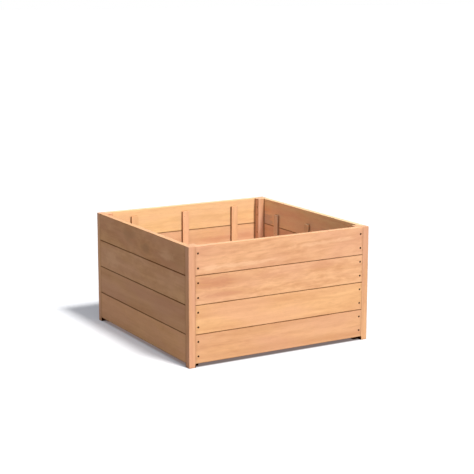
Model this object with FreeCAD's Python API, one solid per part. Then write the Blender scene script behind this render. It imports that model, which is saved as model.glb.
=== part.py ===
"""Raised garden bed: a square timber box, open above and below, on four rebated corner posts.

Units are millimetres. The origin is on the ground, under the middle of the box. X runs to the right
along the front wall, Y runs from the front wall to the back wall, and Z is up.

Each wall is four boards laid edge on edge. Their ends lap the inner block of a corner post, and the
outer nib of the post closes the corner flush with them. Three upright battens inside each wall tie its
boards together. The front and back boards are screwed to the posts from outside, and the left and
right boards from inside, through the post, so that those two walls show no heads outside.
"""
import FreeCAD, Part
import math
import os

from FreeCAD import Placement, Rotation, Vector

# ---- overall -------------------------------------------------------------------------------------
bed_width = 1050.0            # outside, along the front wall
bed_depth = 1050.0            # outside, along a side wall
ground_clearance = 19.5       # from the ground to the lowest boards

# ---- boards --------------------------------------------------------------------------------------
board_count = 4               # in each wall, one above another
board_width = 144.0           # the upright measure of a board
board_thickness = 27.0
board_gap = 1.5               # between one board and the next
board_edge_round = 2.0        # radius along the four long edges of a board
board_end_clearance = 0.3     # between the end of a board and the nib of the post

# ---- corner posts --------------------------------------------------------------------------------
post_neck = 9.0               # timber left between the nib and the inner block, each way
post_lap = 29.0               # how far the end of a board laps the inner block
post_edge_round = 2.0         # radius of the upright edges that stand free

# ---- battens -------------------------------------------------------------------------------------
batten_count = 3              # in each wall
batten_width = 40.0
batten_thickness = 12.0
batten_edge_round = 1.5       # radius of the two long edges that face into the bed
front_batten_setback = 35.0   # front and back walls: from each end of a batten to the boards' edge
side_batten_setback = 75.0    # left and right walls: the same

# ---- screws --------------------------------------------------------------------------------------
screw_shank_diameter = 4.5
screw_head_diameter = 8.0
screw_rim_height = 0.4        # the straight rim above the cone of the head
screw_sink = 0.8              # how deep a head sits under the surface of the wood
screw_point_length = 6.0
screw_recess_width = 1.1      # the cross in the head: width of an arm
screw_recess_span = 4.6       # the cross in the head: tip to tip
screw_recess_depth = 1.6
screw_edge_distance = 35.5    # front and back walls: from a board's long edge to a screw
screw_height_step = 14.5      # side walls: their screws sit this much further in, to pass the others
outer_screw_bite = 23.0       # front and back walls: length of screw in the post
inner_screw_bite = 17.0       # left and right walls: length of screw in the board

# ---- nails ---------------------------------------------------------------------------------------
nail_shank_diameter = 2.0
nail_head_diameter = 3.2
nail_head_height = 1.0
nail_point_length = 3.0
nail_bite = 20.0              # length of nail in the board
nails_per_crossing = 2        # where a batten crosses a board

fastener_clearance = 0.1      # all round every fastener, in its hole

right_angle = 90.0            # degrees
full_turn = 360.0
same_place = 0.01             # points nearer to each other than this are one point

# ---- worked out ----------------------------------------------------------------------------------
board_pitch = board_width + board_gap
wall_height = board_count * board_width + (board_count - 1) * board_gap
bed_height = ground_clearance + wall_height
post_reveal = board_thickness + post_neck      # the strip of post that shows beside the boards
post_size = post_reveal + post_lap             # side of the square that the post is cut from
post_block = post_size - board_thickness       # side of the inner block
screw_inset = post_reveal + post_lap / 2.0     # from the corner of the bed to a line of screws

UP = Vector(0, 0, 1)


# ---- the four walls ------------------------------------------------------------------------------
class Wall:
    """One wall and the frame it is built in.

    In that frame x runs along the wall from its middle, y runs inwards from the outer face, and z is
    up from the ground.
    """

    def __init__(self, name, quarter_turns, length, distance, screwed_from_outside, batten_setback):
        self.name = name
        self.length = length
        self.screwed_from_outside = screwed_from_outside
        self.batten_setback = batten_setback
        turn = Rotation(UP, quarter_turns * right_angle)
        self.placement = Placement(turn.multVec(Vector(0, -distance, 0)), turn)

    def place(self, shape):
        """Return a copy of a shape of the wall's frame, moved to where the wall stands."""
        return shape.transformed(self.placement.toMatrix())

    def board_bottom(self, row):
        """Return the height of the lower edge of a board; row 0 is the lowest."""
        return ground_clearance + row * board_pitch

    def batten_middles(self):
        """Return x of each batten: the middle of its equal share of the space between the screws."""
        span = self.length - 2.0 * screw_inset
        share = span / batten_count
        return [share * (index + 0.5) - span / 2.0 for index in range(batten_count)]

    def batten_range(self):
        """Return the lowest and highest z of the wall's battens."""
        return ground_clearance + self.batten_setback, bed_height - self.batten_setback


walls = [
    Wall("front", 0, bed_width, bed_depth / 2.0, True, front_batten_setback),
    Wall("right", 1, bed_depth, bed_width / 2.0, False, side_batten_setback),
    Wall("back", 2, bed_width, bed_depth / 2.0, True, front_batten_setback),
    Wall("left", 3, bed_depth, bed_width / 2.0, False, side_batten_setback),
]


# ---- timber --------------------------------------------------------------------------------------
def rounded_box(size, corner, edge_radius, picks_edge):
    """Return a box with the edges that picks_edge accepts rounded."""
    box = Part.makeBox(size.x, size.y, size.z, corner)
    edges = [edge for edge in box.Edges if picks_edge(edge)]
    return box.makeFillet(edge_radius, edges)


def runs_along(edge, direction):
    """Tell whether a straight edge runs along a direction."""
    return math.isclose(abs(edge.tangentAt(edge.FirstParameter).dot(direction)), 1.0)


def make_board(wall, row):
    """Return one board, with its long edges rounded."""
    length = wall.length - 2.0 * (post_reveal + board_end_clearance)
    size = Vector(length, board_thickness, board_width)
    corner = Vector(-length / 2.0, 0, wall.board_bottom(row))
    return rounded_box(size, corner, board_edge_round, lambda edge: runs_along(edge, Vector(1, 0, 0)))


def make_batten(wall, middle):
    """Return one batten, flat against the boards, with its two inner long edges rounded."""
    low, high = wall.batten_range()
    size = Vector(batten_width, batten_thickness, high - low)
    corner = Vector(middle - batten_width / 2.0, board_thickness, low)
    inner_face = board_thickness + batten_thickness

    def is_free(edge):
        return runs_along(edge, UP) and edge.CenterOfMass.y > inner_face - batten_thickness / 2.0

    return rounded_box(size, corner, batten_edge_round, is_free)


def make_post():
    """Return a corner post, with the outer corner of its nib at the origin and its block inwards."""
    outline = [
        (0, 0),
        (post_reveal, 0),
        (post_reveal, board_thickness),
        (post_size, board_thickness),
        (post_size, post_size),
        (board_thickness, post_size),
        (board_thickness, post_reveal),
        (0, post_reveal),
    ]
    points = [Vector(x, y, 0) for x, y in outline]
    section = Part.Face(Part.makePolygon(points + points[:1]))
    post = section.extrude(UP * bed_height)
    free_corners = [(0, 0), (post_size, post_size)]

    def is_free(edge):
        middle = edge.CenterOfMass
        return runs_along(edge, UP) and any(
            math.hypot(middle.x - x, middle.y - y) < same_place for x, y in free_corners)

    return post.makeFillet(post_edge_round, [edge for edge in post.Edges if is_free(edge)])


# ---- fasteners -----------------------------------------------------------------------------------
# A fastener is turned about the y axis. The surface of the wood is at y = 0, and it points along +y.
def turned(outline):
    """Return the solid that a closed outline of (radius, depth) points makes about the y axis."""
    points = [Vector(radius, depth, 0) for radius, depth in outline]
    face = Part.Face(Part.makePolygon(points + points[:1]))
    return face.revolve(Vector(0, 0, 0), Vector(0, 1, 0), full_turn)


def make_screw(length):
    """Return a countersunk screw: rim, cone, shank and point, with a cross recess."""
    head = screw_head_diameter / 2.0
    shank = screw_shank_diameter / 2.0
    top = screw_sink
    cone_top = top + screw_rim_height
    cone_end = cone_top + head - shank
    tip = top + length
    outline = [
        (0, top),
        (head, top),
        (head, cone_top),
        (shank, cone_end),
        (shank, tip - screw_point_length),
        (0, tip),
    ]
    screw = turned(outline)
    half_span = screw_recess_span / 2.0
    half_width = screw_recess_width / 2.0
    across = Part.makeBox(screw_recess_span, screw_recess_depth, screw_recess_width,
                          Vector(-half_span, top, -half_width))
    upright = Part.makeBox(screw_recess_width, screw_recess_depth, screw_recess_span,
                           Vector(-half_width, top, -half_span))
    return screw.cut(across.fuse(upright))


def make_screw_hole(length):
    """Return the hole that a screw of this length needs, with clearance all round it."""
    head = screw_head_diameter / 2.0 + fastener_clearance
    shank = screw_shank_diameter / 2.0 + fastener_clearance
    cone_top = screw_sink + screw_rim_height + fastener_clearance
    tip = screw_sink + length + fastener_clearance
    outline = [
        (0, -screw_sink),
        (head, -screw_sink),
        (head, cone_top),
        (shank, cone_top + head - shank),
        (shank, tip),
        (0, tip),
    ]
    return turned(outline)


def make_nail(length):
    """Return a nail with a small flat head, flush with the wood."""
    head = nail_head_diameter / 2.0
    shank = nail_shank_diameter / 2.0
    outline = [
        (0, 0),
        (head, 0),
        (head, nail_head_height),
        (shank, nail_head_height),
        (shank, length - nail_point_length),
        (0, length),
    ]
    return turned(outline)


def make_nail_hole(length):
    """Return the hole that a nail of this length needs, with clearance all round it."""
    head = nail_head_diameter / 2.0 + fastener_clearance
    shank = nail_shank_diameter / 2.0 + fastener_clearance
    head_seat = nail_head_height + fastener_clearance
    outline = [
        (0, -nail_head_height),
        (head, -nail_head_height),
        (head, head_seat),
        (shank, head_seat),
        (shank, length + fastener_clearance),
        (0, length + fastener_clearance),
    ]
    return turned(outline)


class Fasteners:
    """The places of one kind of fastener in one wall, as placements of the wall's frame."""

    def __init__(self, pattern, hole, places):
        self.pattern = pattern
        self.hole = hole
        self.places = places

    def solids(self, wall):
        """Return the fasteners themselves, where they stand in the bed."""
        return [wall.place(self.pattern.transformed(place.toMatrix())) for place in self.places]

    def holes(self, wall):
        """Return the holes that the fasteners need, where they stand in the bed."""
        return [wall.place(self.hole.transformed(place.toMatrix())) for place in self.places]


def screws_of(wall):
    """Return the screws of a wall: two in each end of each board."""
    if wall.screwed_from_outside:
        length = board_thickness + outer_screw_bite - screw_sink
        entry = 0.0
        turn = Rotation()
        edge_distance = screw_edge_distance
    else:
        length = post_block + inner_screw_bite - screw_sink
        entry = post_size
        turn = Rotation(UP, 2 * right_angle)
        edge_distance = screw_edge_distance + screw_height_step
    places = []
    for row in range(board_count):
        bottom = wall.board_bottom(row)
        for end in (-1, 1):
            x = end * (wall.length / 2.0 - screw_inset)
            for z in (bottom + edge_distance, bottom + board_width - edge_distance):
                places.append(Placement(Vector(x, entry, z), turn))
    return Fasteners(make_screw(length), make_screw_hole(length), places)


def nails_of(wall):
    """Return the nails of a wall: a staggered pair where a batten crosses a board."""
    length = batten_thickness + nail_bite
    entry = board_thickness + batten_thickness
    turn = Rotation(UP, 2 * right_angle)
    low, high = wall.batten_range()
    places = []
    for middle in wall.batten_middles():
        for row in range(board_count):
            bottom = max(low, wall.board_bottom(row))
            top = min(high, wall.board_bottom(row) + board_width)
            for index in range(nails_per_crossing):
                share = (index + 0.5) / nails_per_crossing
                x = middle + (share - 0.5) * batten_width
                z = bottom + share * (top - bottom)
                places.append(Placement(Vector(x, entry, z), turn))
    return Fasteners(make_nail(length), make_nail_hole(length), places)


# ---- the bed -------------------------------------------------------------------------------------
def boxes_touch(shape, other):
    """Tell whether the boxes around two shapes meet."""
    return shape.BoundBox.intersect(other.BoundBox)


def drilled(shape, holes):
    """Return a piece of timber with every hole that reaches it cut out."""
    near = [hole for hole in holes if boxes_touch(shape, hole)]
    return shape.cut(near) if near else shape


def corner_posts():
    """Return the four posts by name, standing at the corners of the bed."""
    corners = {
        "post_front_left": (-1, -1, 0),
        "post_front_right": (1, -1, 1),
        "post_back_right": (1, 1, 2),
        "post_back_left": (-1, 1, 3),
    }
    posts = {}
    for name, (side, end, quarter_turns) in corners.items():
        corner = Vector(side * bed_width / 2.0, end * bed_depth / 2.0, 0)
        stand = Placement(corner, Rotation(UP, quarter_turns * right_angle))
        posts[name] = make_post().transformed(stand.toMatrix())
    return posts


def make_bed():
    """Return every piece of the bed by the name of its node."""
    nodes = corner_posts()
    post_names = list(nodes)
    for wall in walls:
        screws = screws_of(wall)
        nails = nails_of(wall)
        screw_holes = screws.holes(wall)
        nail_holes = nails.holes(wall)
        for row in range(board_count):
            board = wall.place(make_board(wall, row))
            nodes["board_%s_%d" % (wall.name, row + 1)] = drilled(board, screw_holes + nail_holes)
        for index, middle in enumerate(wall.batten_middles()):
            batten = wall.place(make_batten(wall, middle))
            nodes["batten_%s_%d" % (wall.name, index + 1)] = drilled(batten, nail_holes)
        for name in post_names:
            nodes[name] = drilled(nodes[name], screw_holes)
        nodes["screws_%s" % wall.name] = Part.makeCompound(screws.solids(wall))
        nodes["nails_%s" % wall.name] = Part.makeCompound(nails.solids(wall))
    return nodes


def main():
    """Write one file per node, and print what each one holds."""
    os.makedirs("parts", exist_ok=True)
    for name, shape in sorted(make_bed().items()):
        shape.exportStep(os.path.join("parts", name + ".step"))
        box = shape.BoundBox
        print("%-20s %3d solids, %7.1f x %7.1f x %7.1f mm, valid %s" % (
            name, len(shape.Solids), box.XLength, box.YLength, box.ZLength, shape.isValid()))


main()
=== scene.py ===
import logging
import math
from dataclasses import dataclass, field
from enum import Enum
from typing import Callable, Iterable, Sequence

import bmesh
import bpy
from mathutils import Matrix, Vector, noise


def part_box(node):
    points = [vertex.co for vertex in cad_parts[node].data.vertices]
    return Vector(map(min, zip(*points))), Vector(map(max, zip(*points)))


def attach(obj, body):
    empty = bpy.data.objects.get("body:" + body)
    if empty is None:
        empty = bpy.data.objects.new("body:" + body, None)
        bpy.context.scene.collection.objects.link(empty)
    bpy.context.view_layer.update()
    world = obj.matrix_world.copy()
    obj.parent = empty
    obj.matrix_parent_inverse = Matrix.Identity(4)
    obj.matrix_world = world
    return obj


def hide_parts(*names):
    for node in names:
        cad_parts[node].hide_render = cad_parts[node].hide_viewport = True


# The raised garden bed, dressed round its CAD solids, with the camera, light and floor of the photograph.
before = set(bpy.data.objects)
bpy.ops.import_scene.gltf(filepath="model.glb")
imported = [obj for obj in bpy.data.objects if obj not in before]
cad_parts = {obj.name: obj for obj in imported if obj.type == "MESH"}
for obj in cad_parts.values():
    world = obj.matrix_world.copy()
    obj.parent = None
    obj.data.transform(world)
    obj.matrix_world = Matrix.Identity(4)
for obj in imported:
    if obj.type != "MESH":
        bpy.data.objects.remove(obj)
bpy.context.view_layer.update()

log = logging.getLogger("raised_bed")

Colour = tuple[float, float, float]
Point = tuple[float, float, float]
Pair = tuple[float, float]
Socket = bpy.types.NodeSocket
Value = float | Socket          # a number, or the socket that it comes from
Paint = Colour | Socket         # a colour, or the socket that it comes from

MM = 0.001                      # one millimetre, in metres
BODY = "root"                   # nothing in the bed moves, so every piece rides on one body
NO_DIRECTION = (0.0, 0.0, 0.0)
WHITE = (1.0, 1.0, 1.0, 1.0)


class Axis(Enum):
    """The direction that the grain of a piece runs in."""

    X = 0
    Y = 1
    Z = 2

    @property
    def order(self) -> tuple[int, int, int]:
        """Which of x, y and z runs along the grain, across it and over it."""
        return {Axis.X: (0, 1, 2), Axis.Y: (1, 0, 2), Axis.Z: (2, 0, 1)}[self]


class Wall(Enum):
    """A wall of the bed: the grain of its boards, and its outward direction."""

    FRONT = ("front", Axis.X, (0.0, -1.0, 0.0))
    BACK = ("back", Axis.X, (0.0, 1.0, 0.0))
    LEFT = ("left", Axis.Y, (-1.0, 0.0, 0.0))
    RIGHT = ("right", Axis.Y, (1.0, 0.0, 0.0))

    @property
    def label(self) -> str:
        """The word that the wall's nodes are named with."""
        return self.value[0]

    @property
    def grain(self) -> Axis:
        """The direction that the wall's boards run in."""
        return self.value[1]

    @property
    def outward(self) -> Vector:
        """The direction that the wall faces."""
        return Vector(self.value[2])


# ---- node graphs -----------------------------------------------------------------------------------
@dataclass(frozen=True)
class Figure:
    """A kind of mark in a material, which a noise makes."""

    rate: Point                 # how many times it changes in a metre, along each axis
    detail: float               # how many finer layers it has
    roughness: float = 0.5      # how strong each finer layer is, from 0 to 1
    warp: float = 0.0           # how far it is bent by itself


class NodeBoard:
    """A node tree that is emptied and then filled by short calls."""

    def __init__(self, tree: bpy.types.NodeTree) -> None:
        """Empty a tree.

        Args:
            tree: The node tree of a material or a world.
        """
        self.tree = tree
        tree.nodes.clear()

    def add(self, kind: str, sockets: dict | None = None, **settings: object) -> bpy.types.Node:
        """Add a node.

        Args:
            kind: The node's type, without the word ShaderNode.
            sockets: A value, or the socket it comes from, for each input by name or number.
            settings: The node's own settings.

        Returns:
            The new node.
        """
        node = self.tree.nodes.new("ShaderNode" + kind)
        for name, value in settings.items():
            setattr(node, name, value)
        for name, value in (sockets or {}).items():
            if isinstance(value, Socket):
                self.join(value, node.inputs[name])
            else:
                node.inputs[name].default_value = value
        return node

    def join(self, source: Socket, target: Socket) -> None:
        """Link one socket to another."""
        self.tree.links.new(source, target)

    def maths(self, operation: str, first: Value, second: Value = 0.0, third: Value = 0.0,
              clamp: bool = False) -> Socket:
        """Do one sum on two or three numbers, and return its result."""
        node = self.add("Math", {0: first, 1: second, 2: third}, operation=operation, use_clamp=clamp)
        return node.outputs[0]

    def vectors(self, operation: str, first: Socket, second: Point | Socket) -> Socket:
        """Do one sum on two vectors, and return its result."""
        return self.add("VectorMath", {0: first, 1: second}, operation=operation).outputs[0]

    def length(self, vector: Socket) -> Socket:
        """Return the length of a vector."""
        return self.add("VectorMath", {0: vector}, operation="LENGTH").outputs["Value"]

    def parts(self, vector: Socket) -> bpy.types.NodeOutputs:
        """Return x, y and z of a vector."""
        return self.add("SeparateXYZ", {0: vector}).outputs

    def finish(self, surface: bpy.types.Node, kind: str = "OutputMaterial") -> None:
        """Link a shader to a new output."""
        self.join(surface.outputs[0], self.add(kind).inputs["Surface"])

    def seen_directly(self) -> Socket:
        """Tell which rays see a thing directly.

        Returns:
            1 for the rays of the camera, of reflections and of clear materials, and 0 for all others.
        """
        path = self.add("LightPath")
        first = self.maths("MAXIMUM", path.outputs["Is Camera Ray"], path.outputs["Is Glossy Ray"])
        return self.maths("MAXIMUM", first, path.outputs["Is Transmission Ray"])

    def noise(self, place: Socket, figure: Figure) -> Socket:
        """Return the value of a noise at a place in metres, which stays near one half."""
        scaled = self.vectors("MULTIPLY", place, figure.rate)
        return self.add("TexNoise", {"Vector": scaled, "Scale": 1.0, "Detail": figure.detail,
                                     "Roughness": figure.roughness, "Distortion": figure.warp}).outputs["Fac"]

    def ramp(self, value: Socket, low: float, high: float, to_low: float = 0.0,
             to_high: float = 1.0) -> Socket:
        """Return a value moved smoothly from the range low..high to the range to_low..to_high."""
        node = self.add("MapRange", {"Value": value, "From Min": low, "From Max": high, "To Min": to_low,
                                     "To Max": to_high}, interpolation_type="SMOOTHSTEP")
        return node.outputs["Result"]

    def mix(self, factor: Value, first: Paint, second: Paint) -> Socket:
        """Mix two colours.

        Args:
            factor: How much of the second colour there is, from 0 to 1.
            first: The first colour.
            second: The second colour.

        Returns:
            The mixture.
        """
        node = self.add("Mix", data_type="RGBA")
        for index, value in ((0, factor), (6, first), (7, second)):
            if isinstance(value, Socket):
                self.join(value, node.inputs[index])
            elif index == 0:
                node.inputs[index].default_value = value
            else:
                node.inputs[index].default_value = (*value, 1.0)
        return node.outputs[2]


def blank_material(name: str) -> tuple[bpy.types.Material, NodeBoard]:
    """Make a material.

    Args:
        name: The material's name.

    Returns:
        The material, and the empty board of its node graph.
    """
    material = bpy.data.materials.new(name)
    material.use_nodes = True
    return material, NodeBoard(material.node_tree)


def into_scene(name: str, data: bpy.types.ID) -> bpy.types.Object:
    """Make an object.

    Args:
        name: The object's name.
        data: Its mesh, lamp or lens.

    Returns:
        The object, which is in the scene.
    """
    made = bpy.data.objects.new(name, data)
    bpy.context.scene.collection.objects.link(made)
    return made


# ---- camera, light and floor -----------------------------------------------------------------------
@dataclass(frozen=True)
class PhotoCamera:
    """The camera that took the photograph, solved from the corners and screws of the bed.

    Lengths are metres in the frame of the part, and angles are degrees.
    """

    place: Point = (-3.3433, -5.7942, 1.8622)
    turn: float = 30.337            # to the right of looking straight at the front wall
    dip: float = 11.473             # below level
    roll: float = -0.110
    focal_pixels: float = 1289.33
    picture_pixels: float = 474.0
    sensor: float = 36.0            # millimetres
    sight: float = 500.0

    def build(self) -> None:
        """Make the camera and hand it to the scene."""
        turn, dip, roll = (math.radians(angle) for angle in (self.turn, self.dip, self.roll))
        forward = Vector((math.sin(turn) * math.cos(dip), math.cos(turn) * math.cos(dip), -math.sin(dip)))
        level_right = forward.cross(Vector((0, 0, 1))).normalized()
        level_down = forward.cross(level_right)
        right = math.cos(roll) * level_right + math.sin(roll) * level_down
        down = math.cos(roll) * level_down - math.sin(roll) * level_right
        lens = bpy.data.cameras.new("photo_camera")
        lens.sensor_fit = "HORIZONTAL"
        lens.sensor_width = self.sensor
        lens.lens = self.focal_pixels / self.picture_pixels * self.sensor
        lens.clip_end = self.sight
        camera = into_scene("photo_camera", lens)
        axes = Matrix((right, -down, -forward)).transposed().to_4x4()
        camera.matrix_world = Matrix.Translation(self.place) @ axes
        bpy.context.scene.camera = camera


@dataclass(frozen=True)
class DistantLight:
    """A lamp so far away that its light runs one way everywhere."""

    name: str
    travel: Point           # the way the light runs
    strength: float
    softness: float         # degrees across, as seen from the bed

    def build(self) -> None:
        """Make the lamp."""
        lamp = bpy.data.lights.new(self.name, "SUN")
        lamp.energy = self.strength
        lamp.angle = math.radians(self.softness)
        holder = into_scene(self.name, lamp)
        holder.rotation_euler = Vector(self.travel).to_track_quat("-Z", "Y").to_euler()


@dataclass(frozen=True)
class StudioLight:
    """A key light from high in front, a weak broad fill from beside the camera, and a white surround."""

    key: DistantLight = DistantLight("key_light", (-0.14, 0.57, -1.0), 3.77, 9.5)
    fill: DistantLight = DistantLight("fill_light", (0.28, 0.78, -0.56), 1.05, 70.0)
    surround_strength: float = 0.14

    def build(self) -> None:
        """Make the lamps and the world."""
        self.key.build()
        self.fill.build()
        world = bpy.data.worlds.new("white_surround")
        world.use_nodes = True
        bpy.context.scene.world = world
        board = NodeBoard(world.node_tree)
        seen = board.seen_directly()
        lit = board.add("Background", {"Color": WHITE, "Strength": self.surround_strength})
        white = board.add("Background", {"Color": WHITE, "Strength": 1.0})
        board.finish(board.add("MixShader", {0: seen, 1: lit.outputs[0], 2: white.outputs[0]}), "OutputWorld")
        bpy.context.scene.view_settings.view_transform = "Standard"


@dataclass(frozen=True)
class StudioFloor:
    """A white floor that keeps the shadow of the bed, with shade painted along the feet of the walls."""

    half_size: float = 60.0
    shade: Colour = (0.183, 0.196, 0.230)       # what the floor shows where no light reaches it
    lit_white: float = 0.66                     # what the light adds, as a share of its strength
    bounce: float = 0.25                        # the grey that the bed is lit by from below
    inner_bounce: Colour = (0.50, 0.36, 0.27)   # the same inside the bed, among the timber
    inner_edge: Pair = (0.440, 0.500)           # where it ends, from the middle of the bed
    foot_shade: Colour = (0.190, 0.150, 0.142)  # painted shade on the floor along the walls, which the photograph shows dark
    foot_white: float = 0.05
    foot_outer: Pair = (0.505, 0.533)           # where that is full, and where it ends outside
    foot_inner: Pair = (0.430, 0.474)           # where it starts inside, and where it is full

    def build(self) -> None:
        """Make the floor."""
        size = self.half_size
        corners = [(-size, -size, 0), (size, -size, 0), (size, size, 0), (-size, size, 0)]
        mesh = bpy.data.meshes.new("studio_floor")
        mesh.from_pydata(corners, [], [(0, 1, 2, 3)])
        mesh.materials.append(self.finish())
        into_scene("studio_floor", mesh)

    def finish(self) -> bpy.types.Material:
        """Make the floor's material.

        Returns:
            A material that is white where it is seen directly, and grey for the light it throws back.
        """
        material, board = blank_material("studio_floor")
        seen = board.seen_directly()
        away = self.away(board)
        # painted shade: the floor below the walls and just inside them is darker and takes less light
        foot = self.foot(board, away)
        white = board.mix(foot, (self.lit_white,) * 3, (self.foot_white,) * 3)
        paper = board.add("BsdfDiffuse", {"Color": white})
        glow = board.add("Emission", {"Color": board.mix(foot, self.shade, self.foot_shade), "Strength": 1.0})
        shown = board.add("AddShader", {0: paper.outputs[0], 1: glow.outputs[0]})
        inside = board.ramp(away, *self.inner_edge, 1.0, 0.0)
        thrown = board.add("BsdfDiffuse", {"Color": board.mix(inside, (self.bounce,) * 3, self.inner_bounce)})
        board.finish(board.add("MixShader", {0: seen, 1: thrown.outputs[0], 2: shown.outputs[0]}))
        return material

    def away(self, board: NodeBoard) -> Socket:
        """Return how far each place is from the middle of the bed, along x or y, whichever is more."""
        place = board.parts(board.add("TexCoord").outputs["Object"])
        return board.maths("MAXIMUM", board.maths("ABSOLUTE", place[0]), board.maths("ABSOLUTE", place[1]))

    def foot(self, board: NodeBoard, away: Socket) -> Socket:
        """Return 1 where shade is painted on the floor, below the walls and just inside them, and 0
        elsewhere.
        """
        outer = board.ramp(away, *self.foot_outer, 1.0, 0.0)
        return board.maths("MULTIPLY", outer, board.ramp(away, *self.foot_inner))


# ---- finishes --------------------------------------------------------------------------------------
@dataclass(frozen=True)
class Patch:
    """A place in the timber with another colour, with soft edges."""

    middle: Point           # in the frame of the part, in metres
    reach: Point            # how far it goes each way, in metres
    colour: Colour
    depth: float            # how much of the colour there is in its middle


DIRT_AND_SHADE_LAYER = "dirt_and_shade"         # the mesh attribute that tells how dark a place is painted, with dirty marks and with shade
FULL_DARK = 1.0             # what it says where dirty joints and painted shade fully darken the timber
BLACK_SHADE = 2.0            # what it says where painted shade makes the timber nearly black
PALEST = 0.98           # the most of a colour that timber gives back

CLOUDS = Figure((1.5, 19.0, 19.0), 3.0)                 # long soft streaks of the timber
STREAKS = Figure((1.9, 60.0, 60.0), 3.0, 0.55)          # narrow streaks
FIBRES = Figure((5.0, 430.0, 430.0), 2.0, 0.6)          # the finest marks
STRETCHES = Figure((2.2, 7.0, 7.0), 2.0)                # broad changes of colour
PORES = Figure((30.0, 900.0, 900.0), 1.0)
WAVES = Figure((1.3, 4.2, 4.2), 2.0)                    # bends of the trunk
STAINS = Figure((260.0, 260.0, 260.0), 3.0, 0.6)        # on steel
SCRATCHES = Figure((900.0, 2600.0, 900.0), 2.0)         # on steel


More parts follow.
